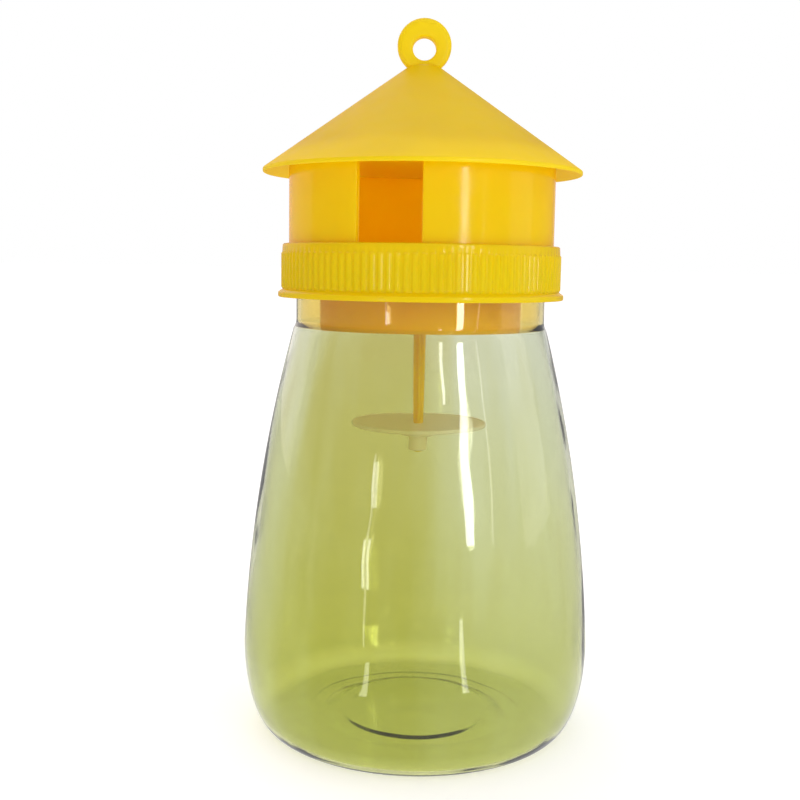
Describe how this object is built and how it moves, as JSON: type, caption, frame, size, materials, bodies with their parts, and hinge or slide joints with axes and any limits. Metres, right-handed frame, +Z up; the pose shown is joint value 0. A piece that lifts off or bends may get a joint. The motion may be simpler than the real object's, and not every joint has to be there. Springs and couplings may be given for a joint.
{
  "type": "wasp trap",
  "caption": "Hanging wasp trap: clear tapered bottle, screw cap shaped like a windowed house under a conical roof with a loop, inner funnel and lure disc on a rod.",
  "frame": {"origin": "centre of the bottle's foot, on the surface it stands on", "axes": "+Z up along the bottle's axis; the loop's hole runs along Y; -Y is the side with the loop's open face and, just to its left, the first window; +X to the right"},
  "size_m": [0.0924, 0.0924, 0.1858],
  "materials": {
    "clear_bottle": "clear, yellow-green tint, glossy",
    "yellow_plastic": "moulded, glossy, slightly translucent",
    "milky_plastic": "milky, translucent"
  },
  "bodies": {
    "bottle": {"bottle": "clear_bottle"},
    "insert": {"funnel_insert": "yellow_plastic", "rod_bridge": "yellow_plastic", "lure_rod": "yellow_plastic", "disc_clip": "milky_plastic"},
    "cap": {"cap_body": "yellow_plastic"},
    "roof": {"roof": "yellow_plastic"},
    "disc": {"lure_disc": "milky_plastic"}
  },
  "joints": [
    {"name": "cap_lift", "type": "slide", "parent": "bottle", "child": "insert", "axis": [0, 0, 1], "range_m": [0, 0.00801]},
    {"name": "cap_turn", "type": "hinge", "parent": "insert", "child": "cap", "pos_m": [0, 0, 0.12], "axis": [0, 0, 1], "range_deg": [0, 720]},
    {"name": "roof_lift", "type": "slide", "parent": "cap", "child": "roof", "axis": [0, 0, 1], "range_m": [0, 0.025]},
    {"name": "disc_turn", "type": "hinge", "parent": "insert", "child": "disc", "pos_m": [0, 0, 0.0806], "axis": [0, 0, 1], "continuous": true}
  ],
  "couplings": [
    {"joint": "cap_lift", "follows": "cap_turn", "m_per_rad": 0.00063662}
  ]
}
